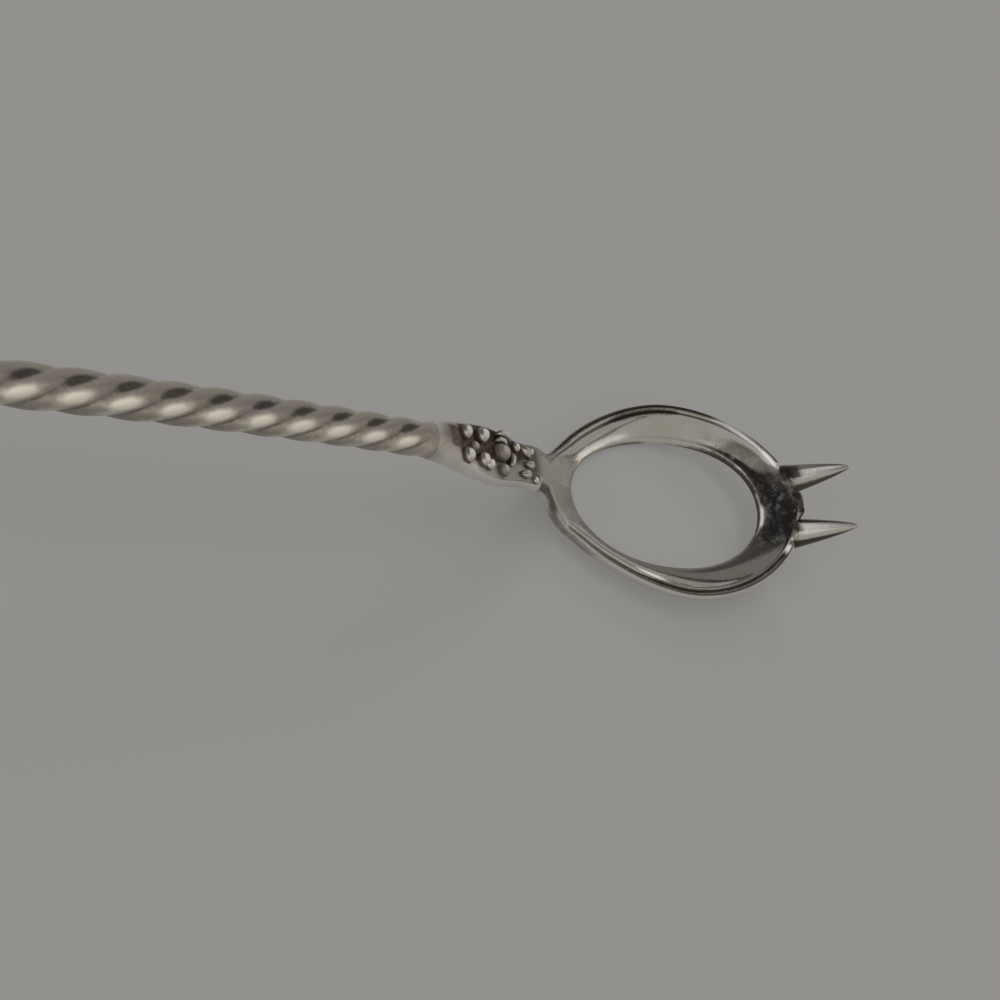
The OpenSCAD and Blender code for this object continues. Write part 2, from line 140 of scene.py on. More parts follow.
class Wire:
    # a socket of a node tree; sums on wires add Math nodes, make() adds any other node
    def __init__(self, tree, socket=None):
        self.tree, self.socket = tree, socket

    def make(self, kind, settings=None, values=None, out=0):
        node = self.tree.nodes.new(kind)
        for key, value in (settings or {}).items():
            setattr(node, key, value)
        for key, value in (values or {}).items():
            if isinstance(value, Wire):
                self.tree.links.new(value.socket, node.inputs[key])
            else:
                node.inputs[key].default_value = value
        return Wire(self.tree, node.outputs[out] if len(node.outputs) else None)

    def sums(self, operation, a, b):
        return self.make("ShaderNodeMath", {"operation": operation}, {0: a, 1: b})

    def __add__(self, other):
        return self.sums("ADD", self, other)

    def __sub__(self, other):
        return self.sums("SUBTRACT", self, other)

    def __rsub__(self, other):
        return self.sums("SUBTRACT", other, self)

    def __mul__(self, other):
        return self.sums("MULTIPLY", self, other)

    __radd__ = __add__

    def step(self, low, high):  # soft step from low to high
        return self.make("ShaderNodeMapRange", {"interpolation_type": "SMOOTHSTEP"},
                         {"Value": self, "From Min": low, "From Max": high})

    def tint(self, a, b):  # colour a where this is 0, b where it is 1
        return self.make("ShaderNodeMix", {"data_type": "RGBA"}, {0: self, 6: a, 7: b}, out=2)


def colour(r, g, b):
    return (r, g, b, 1.0)


# noises as scale per metre, detail and roughness; edges as share of clouds, share of grains, low, high
finishGrain = {"clouds": (160.0, 5.0, 0.6), "grains": (2600.0, 3.0, 0.55), "specks": (5200.0, 2.0, 0.55),
               "scuffs": (750.0, 5.0, 0.68), "stainAndShadeEdge": (0.9, 0.7, 0.2, 0.8), "satinHighlightEdge": (0.5, 0.4, 0.1, 0.95),
               "shadeEdge": (1.1, 0.25, 0.3, 0.75), "recessAndShadeEdge": (0.6, 0.5, 0.3, 0.75), "filmEdge": (0.42, 0.72),
               "scuffEdge": (0.46, 0.74), "scuffTint": 0.25, "scuffMatt": 0.3, "earthEdge": (0.4, 0.7),
               "pitClouds": 0.25, "pitEdge": 0.05, "pitTint": 0.8,
               "hairSize": (0.004, 0.00013, 0.0011), "hairTurn": (2.1, 1.3, 1.0), "hairEdge": 0.06,
               "mattRough": 0.35, "highlightRough": 0.12, "filmRough": 0.05, "hairRough": 0.16, "darkRough": 0.25,
               "grainRough": 0.08, "grainHeight": 0.25, "hairDepth": 0.5, "pitDepth": 1.5, "stainDepth": 0.4,
               "bump": 0.3, "bumpSize": 0.00002}


def silverFinish(name, look):
    # worn silver: clouds of thin film, pits and hair scratches all over; the marks add brown stain, in places
    # painted shade, a painted dark reflection with scuffs, dark oxide in a recess and painted shade elsewhere,
    # satin painted highlights, matt places
    material = bpy.data.materials.new(name)
    material.use_nodes = True
    material.node_tree.nodes.clear()
    k, wire = finishGrain, Wire(material.node_tree)
    place = wire.make("ShaderNodeTexCoord", out=3)

    def noise(key):
        scale, detail, rough = k[key]
        return wire.make("ShaderNodeTexNoise", {}, {"Vector": place, "Scale": scale, "Detail": detail,
                                                    "Roughness": rough})

    clouds, grains, specks = noise("clouds"), noise("grains"), noise("specks")

    def mark(key):
        return wire.make("ShaderNodeAttribute", {"attribute_name": key}, out=2)

    def ragged(key, byItself):  # mark whose edge is broken up by clouds and grains
        value = mark(key)
        byClouds, byGrains, low, high = k[key + "Edge"]
        uneven = (clouds - 0.5) * byClouds + (grains - 0.5) * byGrains
        return (value + (uneven * value if byItself else uneven)).step(low, high)

    film = clouds.step(*k["filmEdge"]) * look["film"]
    # painted highlight from the satin mark; brown and oxide are partly painted shade; painted dark reflection from
    # the shade mark
    brown, paintedHighlight = ragged("stainAndShade", True), ragged("satinHighlight", True)
    darkReflection, dark = ragged("shade", False), ragged("recessAndShade", False)
    pits = (specks + clouds * k["pitClouds"]).step(look["pits"], look["pits"] + k["pitEdge"])
    scuffs = noise("scuffs").step(*k["scuffEdge"]) * darkReflection
    base = film.tint(look["bright"], look["filmColour"])
    base = brown.tint(base, look["brown"])
    base = darkReflection.tint(base, look["darkReflection"])
    base = (scuffs * k["scuffTint"]).tint(base, look["bright"])
    base = (dark * look["deep"]).tint(base, grains.step(*k["earthEdge"]).tint(look["oxide"], look["earth"]))
    base = (pits * k["pitTint"]).tint(base, look["oxide"])
    hairs = 0.0
    for turn, low in look["scratches"]:
        along = wire.make("ShaderNodeMapping", {"vector_type": "TEXTURE"},
                          {"Vector": place, "Rotation": tuple(turn * part for part in k["hairTurn"]),
                           "Scale": k["hairSize"]})
        hair = wire.make("ShaderNodeTexNoise", {}, {"Vector": along, "Scale": 1.0, "Detail": 1.0})
        hairs = hair.step(low, low + k["hairEdge"]) + hairs
    rough = look["rough"] + mark("matt") * k["mattRough"] + paintedHighlight * k["highlightRough"] + film * k["filmRough"]
    rough = rough + (grains - 0.5) * k["grainRough"] + dark * k["darkRough"] + hairs * k["hairRough"]
    height = (grains - 0.5) * k["grainHeight"] - hairs * k["hairDepth"] - pits * k["pitDepth"]
    height = height - brown * (grains * k["stainDepth"])
    bump = wire.make("ShaderNodeBump", {}, {"Strength": k["bump"], "Distance": k["bumpSize"], "Height": height})
    # the painted highlight lowers Metallic, so the plain light makes it bright
    metallic = look["metal"] - paintedHighlight * look["satinHighlight"] - scuffs * k["scuffMatt"]
    shader = wire.make("ShaderNodeBsdfPrincipled", {}, {"Base Color": base, "Metallic": metallic,
                                                        "Roughness": rough, "Normal": bump})
    wire.make("ShaderNodeOutputMaterial", {}, {"Surface": shader})
    return material


# darkReflection is the colour of a painted dark reflection; oxide is the colour of oxide and of painted shade
bowlLook = {"bright": colour(0.86, 0.84, 0.80), "filmColour": colour(0.70, 0.66, 0.58), "film": 0.5,
            "brown": colour(0.22, 0.18, 0.15), "darkReflection": colour(0.3, 0.29, 0.28), "deep": 0.92,
            "oxide": colour(0.07, 0.058, 0.05), "earth": colour(0.1, 0.085, 0.075), "pits": 0.9,
            "rough": 0.09, "metal": 1.0, "satinHighlight": 0.9,
            "scratches": [(0.4, 0.66), (1.3, 0.68), (2.3, 0.67), (2.9, 0.7)]}  # turn in radians, low edge
stemLook = dict(bowlLook, bright=colour(0.87, 0.81, 0.69), film=0.4, brown=colour(0.325, 0.292, 0.25), deep=0.95,
                earth=colour(0.09, 0.076, 0.067), pits=0.95, rough=0.22, satinHighlight=0.7)
shoulderLook = dict(bowlLook, film=0.9, brown=colour(0.42, 0.38, 0.33), deep=0.97, pits=0.95, rough=0.3, satinHighlight=0.55,
                    oxide=colour(0.19, 0.155, 0.13), earth=colour(0.34, 0.28, 0.23))
ornamentLook = dict(shoulderLook, bright=colour(0.8, 0.77, 0.72), filmColour=colour(0.62, 0.57, 0.5))
bossLook = dict(shoulderLook, bright=colour(0.36, 0.33, 0.30), filmColour=colour(0.27, 0.24, 0.21), rough=0.45,
                metal=0.8)

bowlSilver = silverFinish("bowlSilver", bowlLook)
stemSilver = silverFinish("stemSilver", stemLook)
shoulderSilver = silverFinish("shoulderSilver", shoulderLook)
ornamentSilver = silverFinish("ornamentSilver", ornamentLook)
bossSilver = silverFinish("bossSilver", bossLook)
print("finishes made")


# bowl

bowlSize = {"rimA": 19.3, "rimB": 12.0, "rimPower": 1.81, "rimPear": 0.14, "rimRise": 1.35, "rimFace": 1.3,
            "holeA": 14.45, "holeB": 7.75, "holePower": 2.09, "holePear": 0.11, "holeX": -0.25,
            "holeRise": 1.5, "depth": 1.9, "wall": 0.95, "lip": 0.4, "lipFront": 0.35, "lipBack": 0.2,
            "neckW": 4.6, "neckT": 1.8, "neckClimb": 4.85, "neckBend": 0.226, "neckStart": 2.8, "neckLen": 7.1,
            "neckHalf": 36.0, "capHalf": 12.0, "neckSlope": 18.0, "strip": 1.2, "stripFall": 0.45,
            "cornerPull": (4, 0.1), "flankPull": 3, "bevel": (0.03, 0.12, 0.3),  # neck's end, rim, neck's flank
            "crown": 0.3, "groove": 0.2, "foot": 0.5, "frontEdge": 0.6, "seat": 0.55,
            "around": (380, 190), "perSpan": 6}
neckX0 = -bowlSize["rimA"] + bowlSize["neckStart"]
neckX1 = neckX0 - bowlSize["neckLen"]


def ovalPoint(a, b, pear, power, x0, t):  # superellipse, fuller to the front
    c, s = signedPower(np.cos(t), 2 / power), signedPower(np.sin(t), 2 / power)
    return np.stack([x0 + a * c, b * s * (1 + pear * c)], -1)


def rimPoint(t):
    k = bowlSize
    return ovalPoint(k["rimA"], k["rimB"], k["rimPear"], k["rimPower"], 0.0, t)


def holePoint(t):  # the opening, its two ends drawn in a little
    k = bowlSize
    p = ovalPoint(k["holeA"], k["holeB"], k["holePear"], k["holePower"], k["holeX"], t)
    p[:, 0] += k["lipBack"] * ((1 - np.cos(t)) / 2) ** 4 - k["lipFront"] * ((1 + np.cos(t)) / 2) ** 4
    return p


def rimHeight(x):
    return bowlSize["rimRise"] * (x / bowlSize["rimA"]) ** 2


def topHeight(x):  # rim, and behind it the neck's climb
    k = bowlSize
    n = np.clip((neckX0 - x) / k["neckLen"], 0, 1)
    return rimHeight(x) + k["neckClimb"] * (smooth(n) + k["neckBend"] * (n ** 3 - n ** 2))


def bezier(a, b, c, d, t):
    s = 1 - t
    return s ** 3 * a + 3 * s * s * t * b + 3 * s * t * t * c + t ** 3 * d


def edgePoint(t):  # outer edge in plan: oval, then the neck's flank, then its straight end
    k = bowlSize
    off = np.abs(t / deg - 180)
    side = np.where(t < np.pi, 1.0, -1.0)
    turn = 180 - k["neckHalf"]  # where the flank leaves the oval, in the oval's own direction
    start = rimPoint(np.array(turn * deg))
    way = rimPoint(np.array((turn - 4) * deg)) - start
    way = way / np.linalg.norm(way)
    corner = np.array([neckX1, k["neckW"] / 2])
    u = np.clip((off - k["capHalf"]) / (k["neckHalf"] - k["capHalf"]), 0, 1)[:, None]
    flank = bezier(corner, corner + k["cornerPull"], start - k["flankPull"] * way, start, u)
    flank = flank * np.stack([np.ones_like(side), side], -1)
    cap = np.stack([np.full_like(off, neckX1), side * off / k["capHalf"] * k["neckW"] / 2], -1)
    off = off[:, None]
    return np.where(off >= k["neckHalf"], rimPoint(t), np.where(off >= k["capHalf"], flank, cap))


def closedSpline(controls, perSpan):  # uniform cubic B-spline through all spans of a closed row of points
    n = controls.shape[1]
    v = np.arange(n * perSpan) / perSpan
    i, f = v.astype(int), (v % 1)
    f = f[None, :, None] if controls.ndim == 3 else f[None, :]
    weights = [(1 - f) ** 3, 3 * f ** 3 - 6 * f ** 2 + 4, -3 * f ** 3 + 3 * f ** 2 + 3 * f + 1, f ** 3]
    return sum(w * controls[:, (i + k - 1) % n] for k, w in enumerate(weights)) / 6


def window(turn, a, b, c, d):  # in degrees round the oval from its front: rises from a to b, falls from c to d
    middle = (b + c) / 2
    near = (turn - middle + 180) % 360 - 180 + middle
    return smooth((near - a) / (b - a)) * smooth((d - near) / (d - c))


rimStretch = {"far": (52, 68, 158, 172), "near": (196, 210, 316, 332), "front": (-22, -14, 14, 22),
              "edge": (-19, -3, 3, 19), "notch": (-8, -5, 5, 8),  # the edge between the tines, where it is rubbed
              "farSeat": (4, 9, 20, 25), "nearSeat": (330, 335, 347, 352)}  # where the tines stand


def bowlControls(turn, neck):
    # a closed row of spline points for each angle: opening's wall, lip, band, crest, rim face, edge, outer wall
    # and foot; on the neck the rim's crest, groove and bead run out
    k = bowlSize
    t, off, plain = turn * deg, np.abs(turn - 180), 1 - neck
    h, e = holePoint(t), edgePoint(t)
    e[:, 0] += k["frontEdge"] * window(turn, *rimStretch["edge"])
    span = np.linalg.norm(e - h, axis=-1)
    zh = k["holeRise"] * ((h[:, 0] - k["holeX"]) / k["holeA"]) ** 2 - k["depth"]
    zl = zh - k["wall"]
    # the neck's side strip starts where the line from hole to edge comes within its width of the flank
    steps = 400
    u = np.linspace(0, 1, steps + 1)[None, :]
    line = h[:, None] + (e - h)[:, None] * u[..., None]
    flank = edgePoint(np.linspace(180 - k["capHalf"], 120, 200) * deg)
    gap = np.interp(line[..., 0], flank[:, 0], flank[:, 1]) - np.abs(line[..., 1])
    last = steps - 1 - np.argmax(gap[:, -2::-1] >= k["strip"], axis=1)
    row = np.arange(len(turn))
    part = np.clip((gap[row, last] - k["strip"]) / (gap[row, last] - gap[row, last + 1]), 0, 1)
    inner = mix(1 - k["rimFace"] / span, np.clip((last + part) / steps, 0.3, 0.97), neck)
    crest = h + (e - h) * inner[:, None]

    def neckFall(p):  # side strips lean outwards
        g = np.interp(p[:, 0], flank[:, 0], flank[:, 1]) - np.abs(p[:, 1])
        return neck * k["stripFall"] * (1 - np.clip(g / k["strip"], 0, 1)) ** 1.4

    def onLine(share, z):  # point on the section's line from hole to edge
        p = h + (e - h) * np.broadcast_to(share, span.shape)[:, None]
        return np.concatenate([p, np.broadcast_to(z, span.shape)[:, None]], -1)

    def onFace(u, fall):  # point across the rim, u from 0 at the crest to 1 at the edge, fall below the top
        p = crest + (e - crest) * np.broadcast_to(u, span.shape)[:, None]
        return np.concatenate([p, (topHeight(p[:, 0]) - fall - neckFall(p))[:, None]], -1)

    far, near = window(turn, *rimStretch["far"]), window(turn, *rimStretch["near"])
    dip = k["groove"] * plain * (0.3 + 0.7 * np.maximum(far, near))
    zc = topHeight(crest[:, 0]) - 0.06 * plain
    rim = topHeight(e[:, 0]) - k["crown"] * plain
    ze = rim - neckFall(e)
    lip = k["lip"] / span
    controls = [onLine(0, zl + 0.15), onLine(0, mix(zl, zh, 0.5)), onLine(0, zh - 0.42),
                onLine(0.1 * lip, zh - 0.13), onLine(0.7 * lip, zh + 0.01)]
    low = topHeight((h + (e - h) * lip[:, None])[:, 0]) - zh
    for s in (0.2, 0.42, 0.62, 0.82):  # concave band
        p = onLine(mix(lip, inner, s), mix(zh, zc, s ** 1.5))
        p[:, 2] = mix(p[:, 2], topHeight(p[:, 0]) - low * (1 - s) ** 2, neck)
        controls.append(p)
    controls += [onLine(inner - 0.14 / span, zc - 0.03 * plain), onLine(inner, zc)]
    for u, fall, cut in ((0.06, 0.07, 0), (0.18, 0.05, 1), (0.34, 0.03, 1), (0.5, 0.03, 0), (0.68, 0, 0)):
        controls.append(onFace(u, fall * plain + cut * dip))
    tight, slight, full = k["bevel"]
    bevel = np.where(off < k["capHalf"], mix(tight, full, smooth(4 * off / k["capHalf"] - 3)),
                     mix(slight, full, neck))
    faceWidth = np.linalg.norm(e - crest, axis=-1)
    controls += [onFace(np.minimum(0.86, 1 - 0.9 * bevel / faceWidth), 0.3 * k["crown"] * plain),
                 onLine(1, ze - 0.9 * bevel)]
    # the outer wall is a quarter of an oval under the rim and a flat side and underside on the neck
    down = np.stack([np.full_like(span, -np.sin(k["neckSlope"] * deg) * k["neckT"]),
                     -0.5 * e[:, 1] / np.maximum(np.abs(e[:, 1]), k["neckW"] / 2),
                     np.full_like(span, -np.cos(k["neckSlope"] * deg) * k["neckT"])], -1)
    rimTop = onLine(1, rim)
    under = onLine(0.45, 0)
    under[:, 2] = topHeight(under[:, 0]) - 1.15 * k["neckT"]
    walls = [rimTop + down * [0.5, 0, 0.5], rimTop + down, under, onLine(k["foot"] / span, zl)]
    reach, drop = 1 - k["foot"] / span, ze - zl
    for angle, wall in zip((28, 54, 74, 90), walls):
        c, s = np.cos(angle * deg) ** 0.8 if angle < 90 else 0.0, np.sin(angle * deg) ** 0.8
        controls.append(mix(onLine(1 - reach * (1 - c), ze - drop * s), wall, neck[:, None]))
    controls = np.stack(controls + [onLine(0.1 / span, zl)], 1)
    seat = np.maximum(window(turn, *rimStretch["farSeat"]), window(turn, *rimStretch["nearSeat"]))
    controls[:, 11:18, 2] -= k["seat"] * seat[:, None] * [0.05, 0.2, 0.4, 0.65, 0.85, 1, 1]
    return controls


# wear of the bowl, with painted highlights and painted shade: mark, first point of the section, window round the
# oval, strengths from that point on; points 0 to 2 are the opening's wall, 3 and 4 the lip, 5 to 8 the band, 9 and
# 10 the crest,
# 11 to 16 the rim face, 17 the edge, 18 to 22 the outer wall and the foot
bowlWear = [
    ("recessAndShade", 9, (72, 84, 112, 138), [0.45, 0.7, 0.8, 0.9, 0.8, 0.2]),  # far groove
    ("recessAndShade", 0, (2, 10, 46, 96), [0.7] * 4), ("recessAndShade", 0, (-28, -22, 2, 8), [0.6] * 3),  # opening's wall
    ("recessAndShade", 4, (30, 38, 54, 70), [0.5]), ("recessAndShade", 4, (100, 108, 140, 150), [0.35]),  # lip
    ("recessAndShade", 7, (7, 11, 17, 21), [0.65] * 8), ("recessAndShade", 13, rimStretch["notch"], [0.3] * 2),  # painted shade at the tines
    ("stainAndShade", 0, (88, 100, 160, 178), [0.7] * 4), ("stainAndShade", 0, (284, 296, 330, 342), [0.7] * 4),
    ("stainAndShade", 17, (196, 204, 218, 230), [0.5] * 3), ("stainAndShade", 14, (187, 191, 199, 204), [0.6] * 4),  # by the neck
    ("satinHighlight", 11, (322, 327, 329, 333), [0.42, 0.7, 0.7, 0.63]),  # painted highlight on the rim's end at the near tine
    # painted highlight on the edge between the tines
    ("satinHighlight", 15, rimStretch["notch"], [0.4, 0.5, 0.4]),
    ("satinHighlight", 3, (-25, -16, -6, 3), [1, 0.35]), ("satinHighlight", 5, (98, 112, 142, 148), [1, 0.15]),  # painted highlights on the lip and the far band
    ("satinHighlight", 7, (236, 246, 250, 260), [0.36, 1.2, 1.2, 0.72]),  # painted highlight on the near crest
    # painted highlight on the near rim's outer side
    ("satinHighlight", 16, (208, 214, 280, 290), [0.3])]
highlightStrip = {"centre": 11.4, "from": 28, "drift": 0.085, "width": 2.3, "stretch": (17, 22, 50, 68)}


def bowlMarks(turn, neck, count):
    marks = {key: np.zeros((len(turn), count)) for key in ("recessAndShade", "stainAndShade", "shade", "satinHighlight", "matt")}
    for key, first, stretch, strengths in bowlWear:
        marks[key][:, first:first + len(strengths)] += window(turn, *stretch)[:, None] * strengths
    recessAndShade, stainAndShade, shade, satinHighlight, matt = marks.values()
    far, near, front, notch = (window(turn, *rimStretch[key]) for key in ("far", "near", "front", "notch"))
    plain, corner = 1 - neck, front * (1 - notch)
    # the near groove's dark line moves inwards as it goes forward
    nearDark, later = window(turn, 214, 238, 322, 335), smooth((turn - 238) / 14)
    recessAndShade[:, 11:15] += nearDark[:, None] * mix(np.array([0.15, 0.4, 0.7, 0.75]), np.array([0.35, 0.8, 0.7, 0.3]),
                                                later[:, None])
    # painted dark reflection on the rim's front, beside the strip between the tines
    recessAndShade[:, 15:18] += 0.6 * corner[:, None]
    recessAndShade[:, 17] += 0.8 * plain * far
    recessAndShade[:, [0, 1, -2, -1]] += 0.25  # foot
    # brown on the rim face, more on the far side than the near one, and painted dark reflection on the front
    stainAndShade[:, 14:17] += (plain * (0.75 * far + 0.3 * near) + 0.9 * corner)[:, None]
    stainAndShade[:, 3:18] += 0.35 * neck[:, None]
    matt[:, 3:18] = neck[:, None]
    # painted dark reflection on the front of the band, on the near side of the middle and on the far one
    farHalf = turn < 180
    shade[:, 4:14] += smooth((turn - 312) / 32)[:, None] * [0.6, 1, 1, 1, 1, 1, 1, 0.8, 0.5, 0.4]
    shade[:, 4:9] += (smooth((74 - turn) / 40) * farHalf)[:, None] * [0.6, 1, 1, 1, 0.75]
    shade[:, 9:14] += (smooth((28 - turn) / 10) * farHalf)[:, None]
    shade[:, 9:14] *= 1 - 0.45 * window(turn, -13, -9, -1, 3)[:, None]
    # painted highlight along the far rim, which drifts outwards
    k = highlightStrip
    across = np.arange(count)[None, :] - (k["centre"] + (turn - k["from"]) * k["drift"])[:, None]
    strength = window(turn, *k["stretch"]) * mix(1.15, 0.66, smooth((turn - k["from"]) / 8))
    satinHighlight += np.exp(-(across / k["width"]) ** 2) * strength[:, None]
    return marks


def bowlSurface():
    k = bowlSize
    wide, close = k["around"]  # sections stand closer together round the neck
    turn = np.concatenate([np.linspace(-140, 140, wide, endpoint=False),
                           np.linspace(140, 220, close, endpoint=False)]) % 360
    neck = smooth((k["neckHalf"] - np.abs(turn - 180)) / (k["neckHalf"] - k["capHalf"]))
    controls = bowlControls(turn, neck)
    marks = bowlMarks(turn, neck, controls.shape[1])
    return {"points": wornFlat(closedSpline(controls, k["perSpan"])), "ringU": True,
            "marks": {key: closedSpline(mark, k["perSpan"]) for key, mark in marks.items()}}


buildPiece("oliveBowl", "bowl", bowlSilver, [bowlSurface()])


# tines

tineSize = {"gap": 6.9, "tipGap": 7.9, "tipSkew": 0.1, "skew": 0.45, "slope": 24.0, "inside": 2.0, "rootDrop": 1.87,
            "rootRound": 2.6, "power": 2.1, "blunt": 0.14, "tip": 0.004, "rings": 170, "points": 80,
            "far": {"side": 1, "len": 9.75, "w": 4.1, "up": 2.25, "down": 1.45},
            "near": {"side": -1, "len": 9.1, "w": 3.8, "up": 2.0, "down": 1.4}}
# upper and lower are the flanks as in the photo, towards +Y and -Y; bearings are in degrees from +Y over the top;
# upperDark, lowerDark and light are limits of a cosine, rootDark and lightFrom lengths in mm
# upperDark gives a painted dark reflection on the upper flank, rootShade and lowerShade painted shade at the root
# and on the lower flank, light a painted highlight
tineWear = {"upperAt": 16, "lowerAt": 200, "lowerLineAt": 180,
            "far": {"rootDark": 3.0, "rootShade": 0.65, "upperDark": 0.4, "lowerDark": 0.0, "lowerSoft": 0.7,
                    "lowerShade": 0.6, "lightAt": 76, "light": 0.62, "lightFrom": 0.9},
            "near": {"rootDark": 0.6, "rootShade": 0.32, "upperDark": 0.53, "lowerDark": 0.3, "lowerSoft": 0.25,
                     "lowerShade": 0.55, "lightAt": 90, "light": 0.74, "lightFrom": -0.4}}


def tineMarks(wear, along, u, a):
    def facing(bearing):
        return np.cos(a - bearing * deg)

    root = 1 - smooth((along - 0.1 * wear["rootDark"] + 0.5) / (0.9 * wear["rootDark"] + 0.8))
    upper = smooth((facing(tineWear["upperAt"]) - wear["upperDark"] - 0.1 * u) / 0.2)
    lower = 0.95 * smooth((facing(tineWear["lowerAt"]) - wear["lowerDark"] - 0.2 * u) / wear["lowerSoft"]) \
        + 0.4 * smooth((facing(tineWear["lowerLineAt"]) - 0.4) / 0.4)
    light = smooth((facing(wear["lightAt"]) - mix(wear["light"], 0.85, u)) / 0.25)
    # painted shade at the root and on the lower flank, painted dark reflection on the upper flank, painted
    # highlight on the light side
    return {"recessAndShade": np.maximum(wear["rootShade"] * root, wear["lowerShade"] * lower),
            "stainAndShade": np.maximum(np.maximum(0.95 * upper, lower) * smooth((1 - u) / 0.05), 0.55 * root),
            "satinHighlight": 0.55 * light * smooth((along - wear["lightFrom"]) / 1.6)}


def tineSurface(which):
    # blunt cone, taller above than below its axis, from inside the rim to the rounded point at its tip's place
    k, own, oval = tineSize, tineSize[which], bowlSize
    rootY = own["side"] * k["gap"] / 2 - k["skew"]
    t = np.arcsin((abs(rootY) / oval["rimB"] / (1 + oval["rimPear"])) ** (oval["rimPower"] / 2))
    rootX = rimPoint(np.array(t))[0]
    rootZ = rimHeight(rootX) - k["rootDrop"]
    lean = (own["side"] * k["tipGap"] / 2 + k["tipSkew"] - rootY) / own["len"]
    s = (1 - (1 - np.linspace(0, 1, k["rings"])) ** 1.4)[:, None]
    along = mix(-k["inside"], own["len"], s)
    a = fullTurn(k["points"])
    u = np.clip(along / own["len"], 0, 1)
    taper = (1 - k["blunt"]) * (1 - u) ** 0.8 + k["blunt"] * np.sqrt(1 - u ** 4) + k["tip"]
    inset = (1 - (along + k["inside"]) / k["rootRound"]).clip(0, 1)
    taper = taper * np.sqrt(np.clip(1 - inset ** 2, 0.05, 1))
    y, z = roundSection(own["w"] / 2 * taper, taper, k["power"], a)
    z = z * np.where(z > 0, own["up"], own["down"])
    c, d = np.cos(k["slope"] * deg), np.sin(k["slope"] * deg)
    points = np.stack(np.broadcast_arrays(rootX + along * c - z * d, rootY + y + along * lean,
                                          rootZ + along * d + z * c), -1)
    return {"points": points, "marks": tineMarks(tineWear[which], along, u, a)}


buildPiece("farTine", "far_tine", bowlSilver, [tineSurface("far")])
buildPiece("nearTine", "near_tine", bowlSilver, [tineSurface("near")])


# twisted stem

stemSize = {"start": (-37.3, 10.8), "len": 71.5, "d": 3.13, "strand": 0.95, "ridges": 4, "pitch": 3.16, "first": 46,
            "slope": 10.3, "arch": 290.0, "endFade": 1.8, "rings": 1000, "points": 88}
# soft spots: bearing in degrees round the stem from +Y over the top, half width round it, half length over a strand
# oval is a painted highlight, shadePocket painted shade
stemWear = {"oval": (132, 20, 25), "ovalLean": 0.3, "ovalTurn": 130, "shadePocket": (81, 30, 26), "below": (178, 25, 24),
            "belowSide": 10, "facing": 115, "groove": 14, "backOval": 22, "endStain": 0.66}


def stemAngle(s):
    return stemSize["slope"] - s / stemSize["arch"] / deg


def stemAt(s):  # long arch that leaves the shoulder's rear end
    k, a, b = stemSize, stemAngle(s) * deg, stemSize["slope"] * deg
    return np.stack([k["start"][0] + k["arch"] * (np.sin(a) - np.sin(b)),
                     k["start"][1] + k["arch"] * (np.cos(a) - np.cos(b))], -1)


def stemMarks(around, side, fade):
    # painted highlights as ovals on the ridges, painted shade as dark pockets in the grooves above them
    w = stemWear
    groove = 180 / stemSize["ridges"] - np.abs(side)

    def spot(place, across):
        bearing, wide, long = place
        return np.exp(-(across / long) ** 2 - ((around - bearing) / wide) ** 2)

    oval = spot(w["oval"], side - w["ovalLean"] * (around - w["ovalTurn"]))
    shadePocket, below = spot(w["shadePocket"], groove), spot(w["below"], side - w["belowSide"])
    away = np.abs((around - w["facing"] + 180) % 360 - 180)
    behind = smooth((away - 88) / 24)  # on the side turned away the ridges carry the painted highlight all along
    oval = np.maximum(oval, 0.75 * behind * np.exp(-(side / w["backOval"]) ** 2))
    line = (0.45 + 0.2 * behind) * np.exp(-(groove / w["groove"]) ** 2) * (1 - 0.6 * oval)
    stainAndShade = 0.8 * (1 - oval) - 0.35 * below
    return {"recessAndShade": np.maximum(line, 0.95 * shadePocket) * fade, "stainAndShade": mix(w["endStain"], stainAndShade, fade),
            "satinHighlight": 0.58 + 0.36 * oval}


def stemSurface():
    # section of four round strands grown together, turning left-handed as it goes along the arch
    k = stemSize
    s = np.linspace(0, k["len"], k["rings"])[:, None]
    a = fullTurn(k["points"])
    half = np.pi / k["ridges"]
    off = (a + half) % (2 * half) - half
    out = k["d"] / 2 - k["strand"]
    r = out * np.cos(off) + np.sqrt(k["strand"] ** 2 - (out * np.sin(off)) ** 2)
    fade = smooth(s / k["endFade"]) * smooth((k["len"] - s) / k["endFade"])  # both ends are nearly round
    r = mix(0.985 * k["d"] / 2, r, fade)
    turn = k["first"] * deg + a + 2 * np.pi * s / (k["ridges"] * k["pitch"])
    centre = np.broadcast_to(stemAt(s), turn.shape + (2,))
    return {"points": inPlane(centre, stemAngle(s), r * np.cos(turn), r * np.sin(turn)),
            "marks": stemMarks(turn / deg % 360, off / deg, fade)}


buildPiece("twistedStem", "twisted_stem", stemSilver, [stemSurface()])


# shoulder with its sunk field

shoulderSize = {"len": 14.3, "w": 5.5, "t": 2.0, "reach": 0.32, "fieldDepth": 0.4, "fieldT": 0.56,
                "fieldBack": -6.2, "fieldFront": 6.05, "backRamp": 1.8, "frontRamp": 1.5, "border": 0.32,
                "farDrop": 0.3, "wallWidth": 0.16, "rings": 330, "points": 240}
shoulderEnd = np.array([neckX1, topHeight(np.array(neckX1))]) - bowlSize["neckT"] / 2 * np.array(
    [np.sin(bowlSize["neckSlope"] * deg), np.cos(bowlSize["neckSlope"] * deg)])


def spine(t):  # from the stem's end to the neck's, leaving each in its own direction
    s, n = stemSize["slope"] * deg, bowlSize["neckSlope"] * deg
    start, reach = np.array(stemSize["start"]), shoulderSize["len"] * shoulderSize["reach"]
    t = np.asarray(t, float)[..., None]
    return bezier(start, start + reach * np.array([np.cos(s), -np.sin(s)]),
                  shoulderEnd - reach * np.array([np.cos(n), -np.sin(n)]), shoulderEnd, t)


